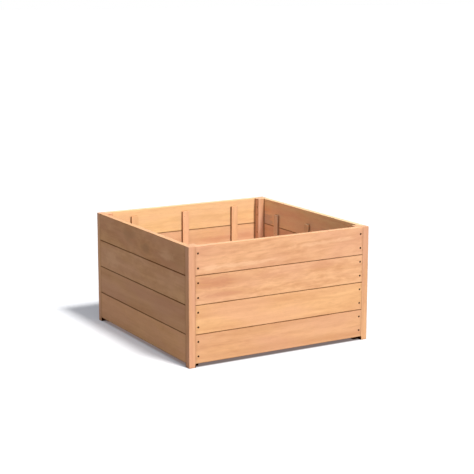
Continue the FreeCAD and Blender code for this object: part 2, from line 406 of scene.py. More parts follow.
@dataclass(frozen=True)
class Timber:
    """Planed and oiled hardwood.

    The figure is worked out in a log that the piece was sawn from, so it runs over the edges and shows
    as rings on the ends.
    """

    tone: Colour = (1.0, 1.0, 1.0)           # multiplies the next three colours
    pale: Colour = (0.870, 0.485, 0.250)     # between the bands of the grain
    deep: Colour = (0.700, 0.345, 0.165)     # in the bands of the grain
    rosy: Colour = (0.790, 0.405, 0.255)     # pinker stretches
    brown: Colour = (0.360, 0.160, 0.080)    # pores, stains and end grain
    top_light: Colour = (0.960, 0.640, 0.370)   # painted light on the faces that look up
    dirt_and_shade: Colour = (0.200, 0.065, 0.013)    # dirty joints, and painted shade in the corners and crevices
    black_shade: Colour = (0.040, 0.012, 0.002)   # painted black shade on the feet, below the boards
    band: float = 0.40                       # how strong the bands of the rings are
    cloud: float = 1.0                       # how strong the long soft streaks are
    streak: float = 0.35                     # how strong the narrow streaks are
    mottle: float = 0.6                      # how strong the short blotches are
    mottle_rate: Point = (13.0, 55.0, 55.0)  # blotches in a metre, along the grain and across it
    rosiness: float = 0.5                    # how much of the pinker tone there is
    top_light_share: float = 0.3                      # how much lighter painted light makes the faces that look up
    fibre: float = 0.30                      # how strong the finest marks are
    pore: float = 0.16                       # how dark the pores are
    end_depths: Pair = (0.10, 0.34)          # how dark the end grain is, at its palest and at its deepest
    slope: float = 0.02                      # how much the grain climbs along the piece
    heart: Pair = (0.13, 0.07)               # metres to the middle of the tree: the mean, and the change
    bend: float = 0.040                      # metres that the rings wander
    ring_rate: float = 70.0                  # bands in a metre
    occlusion: float = 0.011                   # metres: places narrower than this get painted shade
    roughness: float = 0.58
    rough_change: float = 0.20               # how much the roughness changes with the finest marks
    rough_darkening: float = 0.25                 # how much rougher the dirty places and the painted shade are
    shine: float = 0.12
    relief: float = 0.22                     # millimetres
    bump: float = 0.5                        # how strongly the relief shows
    heights: Point = (0.7, 0.35, 0.6)        # in the relief: fibres, narrow streaks, and pores downwards
    lots: Point = (2.1, 3.7, 1.3)            # times the seed, they draw a piece's place in the log
    ring_detail: Pair = (3.0, 0.62)          # how many finer layers the bands have, and how strong these are
    patch_fray: float = 2.2                  # how far the blotches fray a patch's edge
    crevice_shade: float = 0.85                   # how dark the painted shade in narrow places gets
    least_darkening: float = 0.80                 # the share of the dirty marks and painted shade that is left where it is thinnest
    pore_range: Pair = (0.58, 0.72)          # from here on: the values where a mark starts, and is full
    rosy_range: Pair = (0.36, 0.66)
    up_range: Pair = (0.55, 0.95)
    end_range: Pair = (0.75, 0.95)
    mark_range: Pair = (0.3, 0.7)
    occlusion_range: Pair = (0.20, 0.80)
    patch_range: Pair = (0.35, 1.15)

    def material(self, name: str, grain: Axis, seed: float,
                 patches: Sequence[Patch] = ()) -> bpy.types.Material:
        """Make the material of one piece.

        Args:
            name: The material's name.
            grain: The direction that the grain runs in.
            seed: A number that gives each piece its own place in the log.
            patches: Places with another colour, in the frame of the part.

        Returns:
            The material.
        """
        material, board = blank_material(name)
        coordinates = board.add("TexCoord").outputs
        here, normal = coordinates["Object"], coordinates["Normal"]
        place = self.place_in_log(board, here, grain, seed)
        clouds = board.noise(place, CLOUDS)
        streaks = board.noise(place, STREAKS)
        fibres = board.noise(place, FIBRES)
        mottle = board.noise(place, Figure(self.mottle_rate, detail=2.0, roughness=0.6, warp=0.4))
        pores = board.ramp(board.noise(place, PORES), *self.pore_range)
        depth = self.add_up(board, ((self.rings(board, place), self.band), (clouds, self.cloud),
                                    (streaks, self.streak), (mottle, self.mottle), (fibres, self.fibre)))
        colour = board.mix(depth, self.toned(self.pale), self.toned(self.deep))
        pinker = board.ramp(board.noise(place, STRETCHES), *self.rosy_range, 0.0, self.rosiness)
        colour = board.mix(pinker, colour, self.toned(self.rosy))
        for patch in patches:
            colour = board.mix(self.patch(board, here, mottle, patch), colour, patch.colour)
        colour = board.mix(board.maths("MULTIPLY", pores, self.pore), colour, self.brown)
        # painted light: the faces that look up are mixed towards a lighter colour
        lit_from_above = board.ramp(board.parts(normal)[2], *self.up_range, 0.0, self.top_light_share)
        colour = board.mix(lit_from_above, colour, self.top_light)
        end_depth = board.ramp(fibres, *self.mark_range, *self.end_depths)
        ends = board.maths("MULTIPLY", self.end_grain(board, normal, grain), end_depth)
        colour = board.mix(ends, colour, self.brown)
        # Dirty joints and ends, and painted shade in corners, crevices, holes and on the feet
        told = board.add("Attribute", attribute_name=DIRT_AND_SHADE_LAYER).outputs["Fac"]
        darkening = self.darkening(board, told, clouds)
        colour = board.mix(darkening, colour, self.dirt_and_shade)
        colour = board.mix(board.ramp(told, FULL_DARK, BLACK_SHADE), colour, self.black_shade)
        smoothest = self.roughness - self.rough_change / 2.0
        roughness = board.maths("MULTIPLY_ADD", fibres, self.rough_change, smoothest)
        roughness = board.maths("MULTIPLY_ADD", darkening, self.rough_darkening, roughness)
        fibre_height, streak_height, pore_depth = self.heights
        height = self.add_up(board, ((fibres, fibre_height), (streaks, streak_height)))
        height = board.maths("SUBTRACT", height, board.maths("MULTIPLY", pores, pore_depth))
        bump = board.add("Bump", {"Strength": self.bump, "Distance": self.relief * MM, "Height": height})
        shine = board.maths("MULTIPLY_ADD", darkening, -self.shine, self.shine)
        board.finish(board.add("BsdfPrincipled", {"Base Color": colour, "Roughness": roughness,
                                                  "Specular IOR Level": shine, "Normal": bump.outputs[0]}))
        return material

    def toned(self, colour: Colour) -> Colour:
        """Return one of the finish's colours, with its tone."""
        return tuple(min(PALEST, part * tone) for part, tone in zip(colour, self.tone))

    def place_in_log(self, board: NodeBoard, here: Socket, grain: Axis, seed: float) -> Socket:
        """Find the place in the log that a place on the piece was sawn from.

        Args:
            board: The graph of the material.
            here: The place in the frame of the part.
            grain: The direction that the grain runs in.
            seed: A number that gives each piece its own place in the log.

        Returns:
            x along the grain, and y and z across it, from the middle of the tree.
        """
        place = board.parts(here)
        along, across, over = (place[index] for index in grain.order)
        mean, change = self.heart
        draw_away, draw_along, draw_over = (seed * lot for lot in self.lots)
        away = mean + change * math.sin(draw_away)
        climb = board.maths("MULTIPLY", along, -self.slope)
        turned = board.add("CombineXYZ", {
            0: board.maths("ADD", along, draw_along),
            1: board.maths("ADD", across, away),
            2: board.maths("ADD", board.maths("ADD", over, away * math.sin(draw_over)), climb),
        }).outputs[0]
        scaled = board.vectors("MULTIPLY", turned, WAVES.rate)
        wave = board.add("TexNoise", {"Vector": scaled, "Scale": 1.0, "Detail": WAVES.detail})
        centred = board.vectors("SUBTRACT", wave.outputs["Color"], (0.5, 0.5, 0.5))
        return board.vectors("ADD", turned, board.vectors("MULTIPLY", centred, (0.0, self.bend, self.bend)))

    def rings(self, board: NodeBoard, place: Socket) -> Socket:
        """Make the bands of the grain.

        Args:
            board: The graph of the material.
            place: The place in the log.

        Returns:
            Bands that follow the rings of the tree, as a value that stays near one half.
        """
        radius = board.length(board.vectors("MULTIPLY", place, (0.0, 1.0, 1.0)))
        sockets = {"W": board.maths("MULTIPLY", radius, self.ring_rate), "Scale": 1.0,
                   "Detail": self.ring_detail[0], "Roughness": self.ring_detail[1]}
        return board.add("TexNoise", sockets, noise_dimensions="1D").outputs["Fac"]

    def add_up(self, board: NodeBoard, marks: Iterable[tuple[Socket, float]]) -> Socket:
        """Add noises up.

        Args:
            board: The graph of the material.
            marks: Each noise and its strength.

        Returns:
            One half plus twice each noise's distance from its middle times its strength, from 0 to 1.
        """
        total: Value = 0.5
        for value, strength in marks:
            middle = board.maths("SUBTRACT", value, 0.5)
            total = board.maths("MULTIPLY_ADD", middle, 2.0 * strength, total)
        return board.maths("ADD", total, 0.0, clamp=True)

    def patch(self, board: NodeBoard, here: Socket, mottle: Socket, patch: Patch) -> Socket:
        """Tell how strong a patch is.

        Args:
            board: The graph of the material.
            here: The place in the frame of the part.
            mottle: A noise that frays the patch's edge.
            patch: The patch.

        Returns:
            Its strength, from 0 to its depth.
        """
        offset = board.vectors("SUBTRACT", here, patch.middle)
        distance = board.length(board.vectors("DIVIDE", offset, patch.reach))
        frayed = board.maths("MULTIPLY_ADD", board.maths("SUBTRACT", mottle, 0.5), self.patch_fray, distance)
        return board.ramp(frayed, *self.patch_range, patch.depth, 0.0)

    def end_grain(self, board: NodeBoard, normal: Socket, grain: Axis) -> Socket:
        """Return 1 on the ends of the piece, and 0 on its sides."""
        return board.ramp(board.maths("ABSOLUTE", board.parts(normal)[grain.order[0]]), *self.end_range)

    def darkening(self, board: NodeBoard, told: Socket, clouds: Socket) -> Socket:
        """Tell how dark each place is painted, with dirty marks and with shade.

        Args:
            board: The graph of the material.
            told: What the mesh says.
            clouds: A noise that makes the dirty marks and painted shade uneven.

        Returns:
            The more of what the mesh says and the painted shade of narrow places, from 0 to 1.
        """
        # painted shade: narrow places that the occlusion finds are darkened
        occlusion = board.add("AmbientOcclusion", {"Distance": self.occlusion}, samples=6).outputs["AO"]
        crevice_shade = board.ramp(occlusion, *self.occlusion_range, self.crevice_shade, 0.0)
        both = board.maths("MAXIMUM", told, crevice_shade)
        uneven = board.ramp(clouds, *self.mark_range, self.least_darkening, 1.0)
        return board.maths("MULTIPLY", both, uneven, clamp=True)


@dataclass(frozen=True)
class Steel:
    """Steel of a screw or a nail, dull and a little stained."""

    clean: Colour = (0.045, 0.016, 0.006)
    stained: Colour = (0.030, 0.010, 0.004)
    roughness: float = 0.50
    rough_change: float = 0.3   # how much the roughness changes with the stains
    metallic: float = 0.3
    shine: float = 0.15
    relief: float = 0.05        # millimetres
    bump: float = 0.4           # how strongly the relief shows
    stain_range: Pair = (0.40, 0.62)

    def material(self, name: str) -> bpy.types.Material:
        """Make the material.

        Args:
            name: The material's name.

        Returns:
            The material.
        """
        material, board = blank_material(name)
        here = board.add("TexCoord").outputs["Object"]
        stains = board.noise(here, STAINS)
        colour = board.mix(board.ramp(stains, *self.stain_range), self.clean, self.stained)
        smoothest = self.roughness - self.rough_change / 2.0
        roughness = board.maths("MULTIPLY_ADD", stains, self.rough_change, smoothest)
        scratches = board.noise(here, SCRATCHES)
        bump = board.add("Bump", {"Strength": self.bump, "Distance": self.relief * MM, "Height": scratches})
        board.finish(board.add("BsdfPrincipled", {"Base Color": colour, "Roughness": roughness,
                                                  "Metallic": self.metallic, "Specular IOR Level": self.shine,
                                                  "Normal": bump.outputs[0]}))
        return material


# ---- mesh tools ------------------------------------------------------------------------------------
@dataclass(frozen=True)
class Arris:
    """A corner of a cross-section: its place, and the radius that it is eased to."""

    across: float
    over: float
    radius: float
    worn: bool              # whether knocks have changed the radius along the piece


@dataclass(frozen=True)
class Stop:
    """A point of a cross-section before it is set along the piece."""

    place: Vector
    outward: Vector


@dataclass
class Section:
    """A cross-section with right-angled corners, given in order round it."""

    arrises: Sequence[Arris]
    arc_steps: int = 4
    flat_step: float = 16 * MM
    margins: Pair = (1.2 * MM, 3.5 * MM)    # from an arris to the extra points beside it
    widest_arc: float = 2.2                 # the room kept for an arris, as a share of its radius
    least_side: float = 2.5                 # a side shorter than this share of that room has one point

    def stops(self, radii: Sequence[float]) -> list[Stop]:
        """Return the points round the section.

        Args:
            radii: The radius of each arris here.

        Returns:
            The points, in order; their number doesn't depend on the radii.
        """
        corners = [Vector((arris.across, arris.over)) for arris in self.arrises]
        sign = 1.0 if self.area(corners) > 0 else -1.0
        made: list[Stop] = []
        for index, corner in enumerate(corners):
            back = (corners[index - 1] - corner).normalized()
            ahead_corner = corners[(index + 1) % len(corners)]
            ahead = (ahead_corner - corner).normalized()
            turn = 1.0 if (-back.x * ahead.y + back.y * ahead.x) * sign > 0 else -1.0
            radius = radii[index]
            centre = corner + (back + ahead) * radius
            for step in range(self.arc_steps + 1):
                angle = math.pi / 2.0 * step / self.arc_steps
                outward = -ahead * math.cos(angle) - back * math.sin(angle)
                made.append(Stop(centre + outward * radius, outward * turn))
            side = Vector((ahead.y, -ahead.x)) * sign
            length = (ahead_corner - corner).length
            made += [Stop(corner + ahead * reach, side) for reach in self.reaches(length)]
        return made

    def reaches(self, length: float) -> list[float]:
        """Set the points of a side out.

        Args:
            length: The length of the side.

        Returns:
            How far along the side each point is.
        """
        widest = max(arris.radius for arris in self.arrises) * self.widest_arc
        low = [widest + margin for margin in self.margins]
        if length < self.least_side * low[-1]:
            return [length / 2.0]
        count = max(1, round((length - 2.0 * low[-1]) / self.flat_step))
        middle = [low[-1] + (length - 2.0 * low[-1]) * step / count for step in range(count + 1)]
        return [low[0], *middle, length - low[0]]

    @staticmethod
    def area(corners: Sequence[Vector]) -> float:
        """Return the area inside the corners, negative where they run clockwise."""
        pairs = zip(corners, [*corners[1:], corners[0]])
        return sum(first.x * second.y - second.x * first.y for first, second in pairs) / 2.0


WELD = 0.01 * MM            # vertices nearer to each other than this are one
SCREW_SINK = 0.8 * MM       # how deep a screw's head sits under the surface of the wood
HEAD_SLACK = 0.2 * MM       # how much narrower than the head its widest vertices may look
HOLE_RADIUS = 5.6 * MM      # a little over a countersink's
HOLE_RIM = 0.4 * MM


@dataclass(frozen=True)
class ScrewHead:
    """The head of a screw that has to stay in sight: where it meets the wood, and the way it points."""

    place: Vector
    inward: Vector

    def holds(self, point: Vector) -> bool:
        """Tell whether a point is in the hole.

        Args:
            point: A place in the frame of the part.

        Returns:
            Whether it is on the wall of the hole, and not on its rim.
        """
        offset = point - self.place
        depth = offset.dot(self.inward)
        return depth > HOLE_RIM and (offset - self.inward * depth).length < HOLE_RADIUS


def loose_parts(mesh: bmesh.types.BMesh) -> list[list[Vector]]:
    """Find the loose parts of a mesh.

    Args:
        mesh: The mesh, welded.

    Returns:
        The places of each part's vertices.
    """
    found = []
    waiting = set(mesh.verts)
    while waiting:
        part, reached = set(), [min(waiting, key=lambda vertex: vertex.index)]
        while reached:
            vertex = reached.pop()
            if vertex not in part:
                part.add(vertex)
                reached += [edge.other_vert(vertex) for edge in vertex.link_edges]
        waiting -= part
        found.append([vertex.co.copy() for vertex in part])
    return found


def head_of(places: Sequence[Vector]) -> ScrewHead:
    """Find the head of a screw.

    Args:
        places: The places of the screw's vertices.

    Returns:
        Its head, at the end where it is widest.
    """
    low = Vector(map(min, zip(*places)))
    high = Vector(map(max, zip(*places)))
    size = high - low
    axis = max(range(3), key=lambda index: size[index])
    others = [index for index in range(3) if index != axis]
    middle = (low + high) / 2.0
    near_low = [place for place in places if place[axis] < middle[axis]]
    width_low = max(max(abs(place[index] - middle[index]) for index in others) for place in near_low)
    head_low = width_low > max(size[index] for index in others) / 2.0 - HEAD_SLACK
    inward = Vector(NO_DIRECTION)
    inward[axis] = 1.0 if head_low else -1.0
    top = middle.copy()
    top[axis] = low[axis] if head_low else high[axis]
    return ScrewHead(top - inward * SCREW_SINK, inward)


def screw_heads(wall: Wall) -> list[ScrewHead]:
    """Find the heads of a wall's screws.

    Args:
        wall: The wall.

    Returns:
        The heads, in the order of their places.
    """
    mesh = bmesh.new()
    mesh.from_mesh(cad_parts[f"screws_{wall.label}"].data)
    bmesh.ops.remove_doubles(mesh, verts=mesh.verts, dist=WELD)
    heads = [head_of(places) for places in loose_parts(mesh)]
    mesh.free()
    return sorted(heads, key=lambda head: tuple(round(part, 4) for part in head.place))


@dataclass(frozen=True)
class Countersink:
    """The hole that a screw head sits in."""

    head_radius: float = 5.4 * MM
    shank_radius: float = 2.4 * MM
    straight: float = 1.3 * MM
    cone_end: float = 3.9 * MM
    depth: float = 9.0 * MM
    clear: float = 3.0 * MM         # how far the cutter stands out of the wood
    steps: int = 24
    fray: float = 0.025             # how uneven it is, as a share of its radius
    fray_waves: float = 3.0
    fray_turn: float = 900.0        # radians in a metre of height, so that no two holes are alike

    def add_to(self, mesh: bmesh.types.BMesh, head: ScrewHead) -> None:
        """Add the cutter of one hole to a mesh.

        Args:
            mesh: The mesh of the cutters.
            head: The screw's head.
        """
        turn = head.inward.to_track_quat("Z", "X")
        profile = ((self.head_radius, -self.clear), (self.head_radius, self.straight),
                   (self.shank_radius, self.cone_end), (self.shank_radius, self.depth))
        rings = []
        for radius, depth in profile:
            ring = []
            for step in range(self.steps):
                angle = math.tau * step / self.steps
                wave = math.sin(self.fray_waves * angle + head.place.z * self.fray_turn)
                frayed = radius * (1.0 + self.fray * wave)
                local = Vector((frayed * math.cos(angle), frayed * math.sin(angle), depth))
                ring.append(mesh.verts.new(head.place + turn @ local))
            rings.append(ring)
        for lower, upper in zip(rings, rings[1:]):
            for step in range(self.steps):
                after = (step + 1) % self.steps
                mesh.faces.new((lower[step], lower[after], upper[after], upper[step]))
        mesh.faces.new(rings[0][::-1])
        mesh.faces.new(rings[-1])


@dataclass(frozen=True)
class Wear:
    """What handling and knocks do to an arris, as shares of its radius."""

    rate: float = 7.0           # slow changes in a metre
    depth: float = 0.35
    knock_rate: float = 31.0
    knock_depth: float = 3.5
    knock_start: float = 0.33   # how much of the noise leaves no knock
    most: float = 2.1
    lanes: Pair = (5.1, 9.7)    # between one arris and the next in the noises of the changes and knocks
    knock_lane: float = 40.0    # between the two noises

    def share(self, along: float, index: int, seed: float) -> float:
        """Tell how worn an arris is.

        Args:
            along: The place along the piece.
            index: The arris's number.
            seed: The piece's seed.

        Returns:
            The radius, as a share of what it was.
        """
        slow = noise.noise(Vector((along * self.rate, index * self.lanes[0], seed)))
        lane = index * self.lanes[1]
        knock = noise.noise(Vector((along * self.knock_rate, lane, seed + self.knock_lane)))
        knock = max(0.0, knock - self.knock_start)
        return min(self.most, 1.0 + self.depth * slow + self.knock_depth * knock)


# Tells how dark a place is painted, with dirty marks and with shade, which is given along the grain of a
# piece, across it and over it.
DirtAndShadeRule = Callable[[float, float, float], float]


@dataclass
class SawnPiece:
    """A piece of timber, swept along its grain, with worn arrises, eased ends and screw holes.

    Places in it are given along the grain, across it and over it, which are the three directions of
    the part's frame in the order that its axis says.
    """

    node: str
    axis: Axis
    section: Section
    span: Pair                          # where it starts and ends along the grain
    material: bpy.types.Material
    slot: str
    dirt_and_shade: DirtAndShadeRule
    seed: float
    heads: Sequence[ScrewHead] = ()
    extra: Sequence[float] = ()         # more places along the grain that need a section
    wear: Wear = Wear()
    step: float = 13 * MM               # between one section and the next
    ease: float = 0.7 * MM              # how much the ends are eased
    ease_radius: float = 1.6            # the radius of an eased arris, as a share of that
    ripple: float = 0.12 * MM           # how far the faces wander
    ripple_rates: Pair = (9.0, 30.0)    # ripples in a metre along the grain, and round the section
    bow: float = 0.30 * MM              # how far the whole piece wanders
    bow_rate: float = 1.6
    bow_lanes: Pair = (11.0, 23.0)      # where the noise is read for the wander across and over the piece
    bow_seed: float = 1.7               # times the seed, where it is read for this piece
    sharp_angle: float = 32.0           # degrees: a bend of more than this shows as an edge

    def build(self) -> None:
        """Build the piece in place of its CAD node."""
        mesh = bmesh.new()
        rings = [self.ring(mesh, along, inset) for along, inset in self.stations()]
        for lower, upper in zip(rings, rings[1:]):
            for index in range(len(lower)):
                after = (index + 1) % len(lower)
                mesh.faces.new((lower[index], lower[after], upper[after], upper[index]))
        caps = [mesh.faces.new(rings[0][::-1]), mesh.faces.new(rings[-1])]
        if mesh.calc_volume(signed=True) < 0.0:
            bmesh.ops.reverse_faces(mesh, faces=mesh.faces)
        mesh.normal_update()
        bmesh.ops.triangulate(mesh, faces=caps, ngon_method="EAR_CLIP")
        piece = self.to_object(mesh, "timber_" + self.node)
        if self.heads:
            self.drill(piece)
        self.paint(piece.data)
        for face in piece.data.polygons:
            face.use_smooth = True
        piece.data.set_sharp_from_angle(angle=math.radians(self.sharp_angle))
        piece.data.materials.clear()
        piece.data.materials.append(self.material)
        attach(piece, BODY)
        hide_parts(self.node)

    def stations(self) -> list[Pair]:
        """Set the sections out.

        Returns:
            Where each section stands along the piece, and how far it is drawn in.
        """
        start, end = self.span
        inner_start, inner_end = start + self.ease, end - self.ease
        count = max(2, round((inner_end - inner_start) / self.step))
        inner = [inner_start + (inner_end - inner_start) * index / count for index in range(count + 1)]
        inner = sorted({round(along, 5) for along in (*inner, *self.extra)})
        return [(start, self.ease), *((along, 0.0) for along in inner), (end, self.ease)]

    def ring(self, mesh: bmesh.types.BMesh, along: float, inset: float) -> list[bmesh.types.BMVert]:
        """Add one section.

        Args:
            mesh: The mesh of the piece.
            along: Where the section stands along the piece.
            inset: How far it is drawn in.

        Returns:
            The vertices of the section.
        """
        least = self.ease_radius * inset
        radii = [max(least, self.worn_radius(index, along)) for index in range(len(self.section.arrises))]
        sway = Vector([self.wander(along, lane) for lane in self.bow_lanes])
        sway = sway * self.bow * self.middleness(along)
        rate, round_rate = self.ripple_rates
        made = []
        for stop in self.section.stops(radii):
            across, over = stop.place.x * round_rate + self.seed, stop.place.y * round_rate
            rough = noise.noise(Vector((along * rate, across, over)))
            place = stop.place + sway + stop.outward * (rough * self.ripple - inset)
            made.append(mesh.verts.new(self.in_frame(along, place.x, place.y)))
        return made

    def wander(self, along: float, lane: float) -> float:
        """Return a smooth value from about -1 to 1 that changes slowly along the piece."""
        return noise.noise(Vector((along * self.bow_rate, lane, self.seed * self.bow_seed)))

    def middleness(self, along: float) -> float:
        """Return 1 in the middle of the piece and 0 at its ends."""
        start, end = self.span
        return math.sin(math.pi * min(1.0, max(0.0, (along - start) / (end - start)))) ** 0.5

    def worn_radius(self, index: int, along: float) -> float:
        """Return the radius of an arris at one place along the piece."""
        arris = self.section.arrises[index]
        return arris.radius * (self.wear.share(along, index, self.seed) if arris.worn else 1.0)

    def in_frame(self, along: float, across: float, over: float) -> Vector:
        """Find a place in the part's frame.

        Args:
            along: The place along the grain.
            across: The place across it.
            over: The place over it.

        Returns:
            The place as x, y and z.
        """
        place = Vector(NO_DIRECTION)
        for index, value in zip(self.axis.order, (along, across, over)):
            place[index] = value
        return place

    def to_object(self, mesh: bmesh.types.BMesh, name: str) -> bpy.types.Object:
        """Make an object.

        Args:
            mesh: The mesh that it is made of, which is then freed.
            name: The object's name.

        Returns:
            The object.
        """
        data = bpy.data.meshes.new(name)
        mesh.to_mesh(data)
        mesh.free()
        return into_scene(name, data)

    def drill(self, piece: bpy.types.Object) -> None:
        """Cut the holes of the screw heads.

        Args:
            piece: The piece.
        """
        mesh = bmesh.new()
        for head in self.heads:
            Countersink().add_to(mesh, head)
        bmesh.ops.recalc_face_normals(mesh, faces=mesh.faces)
        cutter = self.to_object(mesh, "cutter")
        cut = piece.modifiers.new("holes", "BOOLEAN")
        cut.operation = "DIFFERENCE"
        cut.solver = "EXACT"
        cut.object = cutter
        graph = bpy.context.evaluated_depsgraph_get()
        drilled = bpy.data.meshes.new_from_object(piece.evaluated_get(graph))
        piece.modifiers.clear()
        piece.data = drilled
        bpy.data.objects.remove(cutter)

    def paint(self, data: bpy.types.Mesh) -> None:
        """Store how dark each vertex is painted, with dirty marks and with shade.

        Args:
            data: The mesh of the piece.
        """
        layer = data.attributes.new(DIRT_AND_SHADE_LAYER, "FLOAT", "POINT")
        order = self.axis.order
        for vertex, item in zip(data.vertices, layer.data):
            along, across, over = (vertex.co[index] for index in order)
            # The walls of the screw holes are darkened as painted shade.
            in_hole = any(head.holds(vertex.co) for head in self.heads)
            item.value = FULL_DARK if in_hole else min(BLACK_SHADE, max(0.0, self.dirt_and_shade(along, across, over)))


def fade(distance: float, reach: float) -> float:
    """Return 1 at a distance of 0 or less, falling smoothly to 0 at the reach."""
    share = min(1.0, max(0.0, distance / reach))
    return 1.0 - share * share * (3.0 - 2.0 * share)


def dress(piece: bpy.types.Object, material: bpy.types.Material) -> None:
    """Give a piece one material in all its slots.

    Args:
        piece: The piece.
        material: The material.
    """
    if not piece.data.materials:
        piece.data.materials.append(material)
    for slot in piece.material_slots:
        slot.material = material


# ---- the bed ---------------------------------------------------------------------------------------
@dataclass
class WallBoards:
    """The four boards of one wall, row 1 at the bottom.

    The photograph shows how dark the joints, ends and corners are; 1 is as dark as the colour of dirty joints
    and painted shade.
    """

    wall: Wall
    seed: float
    tones: Sequence[Colour]
    mottles: Sequence[float] = (0.6, 0.6, 0.6, 0.6)
    mottle_rate: Point = (13.0, 55.0, 55.0)
    patches: dict[int, Sequence[Patch]] = field(default_factory=dict)
    slopes: dict[int, float] = field(default_factory=dict)
    # painted light on the faces that look up
    top_light_share: float = 0.3
    seed_step: float = 0.77             # from one board to the next
    climb: float = 0.015                # the most that the grain climbs, where slopes doesn't say
    climb_lot: float = 3.9              # times the seed, it draws that climb
    arris_radius: float = 1.5 * MM
    skin: float = 0.2 * MM              # a place nearer to an edge than this is on it
    joint_reach: float = 2.1 * MM       # how far the dark of a joint spreads over a board
    rim_dark: float = 0.05              # the same dark along the upper edge of the highest board
    end_reach: float = 2.0 * MM
    end_dark: float = 0.22
    lap: float = 28.7 * MM              # how far the end of a board laps the block of a post
    inner_skin: float = 0.5 * MM        # a place nearer to the inner face than this is on it
    post_shadow_reach: float = 11.0 * MM     # how far the painted shadow of a post's block spreads over the inside
    post_shadow_dark: float = 0.85
    post_shadow_steps: Sequence[float] = (0.0, 0.3, 0.6, 1.0)    # where that needs a section
    outer_skin: float = 0.3 * MM
    line_start: float = 1.5 * MM        # a dark line below the rim, outside
    line_reach: float = 4.0 * MM
    line_dark: float = 0.0

    def build(self) -> None:
        """Build each board."""
        for row, tone in enumerate(self.tones, start=1):
            self.board(row, tone).build()
            log.info("built board %d of the %s wall", row, self.wall.label)

    def board(self, row: int, tone: Colour) -> SawnPiece:
        """Draw one board up.

        Args:
            row: Its number, from 1 at the bottom.
            tone: Its tone.

        Returns:
            The board, ready to build.
        """
        node = f"board_{self.wall.label}_{row}"
        low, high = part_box(node)
        along, across, over = self.wall.grain.order
        start, end, bottom, top = low[along], high[along], low[over], high[over]
        corners = ((low[across], bottom), (high[across], bottom), (high[across], top), (low[across], top))
        is_rim = row == len(self.tones)
        inner, outer = low[across], high[across]
        if self.wall.outward[across] < 0.0:
            inner, outer = outer, inner
        post_shadow_edges = [edge + sign * share * self.post_shadow_reach for share in self.post_shadow_steps
                          for edge, sign in ((start + self.lap, 1.0), (end - self.lap, -1.0))]

        def dirt_and_shade(place: float, depth: float, height: float) -> float:
            """Tell how dark a place on the board is painted.

            Args:
                place: Where it is along the board.
                depth: Where it is through the board.
                height: How high it is.

            Returns:
                The most of the dark of the joints, the ends and the line, and of the painted shadow beside
                the posts.
            """
            low_joint = fade(height - bottom - self.skin, self.joint_reach)
            high_joint = (self.rim_dark if is_rim else 1.0) * fade(top - height - self.skin, self.joint_reach)
            from_end = min(place - start, end - place)
            ends = self.end_dark * fade(from_end, self.end_reach)
            corner = line = 0.0
            # painted shadow of the post's block on the inside of the board, beside its end
            if abs(depth - inner) < self.inner_skin:
                corner = self.post_shadow_dark * fade(from_end - self.lap, self.post_shadow_reach)
            if is_rim and abs(depth - outer) < self.outer_skin:
                line = self.line_dark * fade(top - height - self.line_start, self.line_reach)
            return max(low_joint, high_joint, ends, corner, line)

        seed = self.seed + row * self.seed_step
        finish = Timber(tone=tone, slope=self.slopes.get(row, self.climb * math.cos(seed * self.climb_lot)),
                        mottle=self.mottles[row - 1], mottle_rate=self.mottle_rate, top_light_share=self.top_light_share)
        return SawnPiece(
            node=node,
            axis=self.wall.grain,
            section=Section([Arris(*corner, self.arris_radius, worn=True) for corner in corners]),
            span=(start, end),
            material=finish.material("timber_" + node, self.wall.grain, seed, self.patches.get(row, ())),
            slot="board_timber",
            dirt_and_shade=dirt_and_shade,
            seed=seed,
            heads=[head for head in self.heads() if bottom < head.place.z < top],
            extra=post_shadow_edges,
        )

    def heads(self) -> list[ScrewHead]:
        """Return the screw heads in the outer face of the wall."""
        return [head for head in screw_heads(self.wall) if head.inward.dot(self.wall.outward) < 0.0]


POST_TONES: dict[str, Colour] = {
    "front_left": (0.955, 0.925, 0.945),
    "front_right": (0.980, 0.975, 0.985),
    "back_left": (1.000, 1.000, 1.000),
    "back_right": (0.970, 1.070, 1.170),
}


